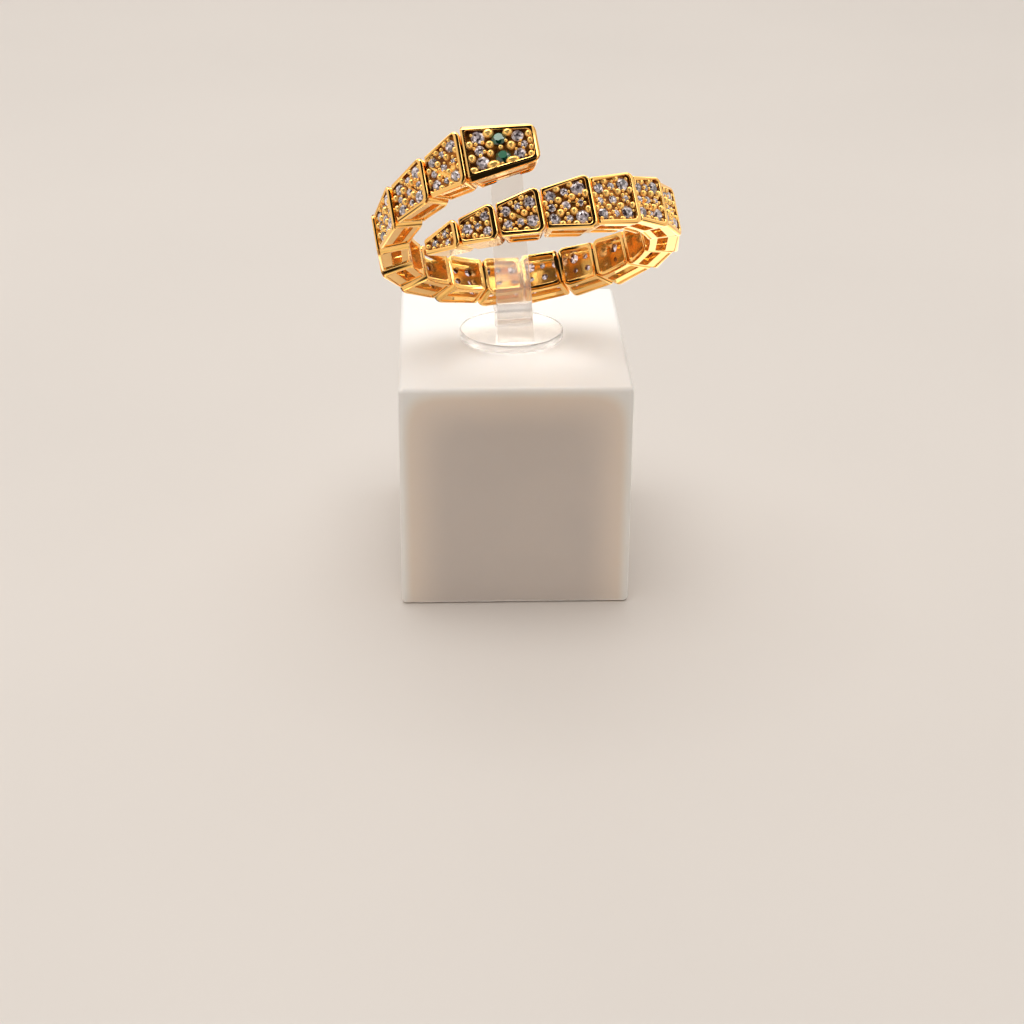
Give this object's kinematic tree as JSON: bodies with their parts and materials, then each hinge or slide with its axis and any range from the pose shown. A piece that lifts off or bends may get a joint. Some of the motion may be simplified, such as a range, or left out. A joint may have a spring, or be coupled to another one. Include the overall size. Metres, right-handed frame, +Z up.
{
  "type": "snake ring on display block",
  "caption": "Wrap-around snake finger ring of stepped, stone-set gold links with a green-eyed head, held at a slant by a clear clip on a white block.",
  "frame": {"origin": "middle of the block's underside", "axes": "+Z up, -Y towards the viewer and the ring's head, +X to the viewer's right"},
  "size_m": [0.0233, 0.0311, 0.04],
  "materials": {
    "polished_gold": "high polish",
    "clear_stone": "cut and polished",
    "green_stone": "cut and polished",
    "clear_plastic": "clear, polished",
    "white_plastic": "satin"
  },
  "bodies": {
    "root": {"link_01": "polished_gold", "link_02": "polished_gold", "link_03": "polished_gold", "link_04": "polished_gold", "link_05": "polished_gold", "link_06": "polished_gold", "link_07": "polished_gold", "link_08": "polished_gold", "link_09": "polished_gold", "link_10": "polished_gold", "link_11": "polished_gold", "link_12": "polished_gold", "link_13": "polished_gold", "link_14": "polished_gold", "link_15": "polished_gold", "link_16": "polished_gold", "link_17": "polished_gold", "link_18": "polished_gold", "link_19": "polished_gold", "link_20": "polished_gold", "head": "polished_gold", "eye_upper": "green_stone", "eye_lower": "green_stone", "clear_stones": "clear_stone", "clip_strip": "clear_plastic", "clip_base": "clear_plastic", "block": "white_plastic"}
  },
  "joints": []
}
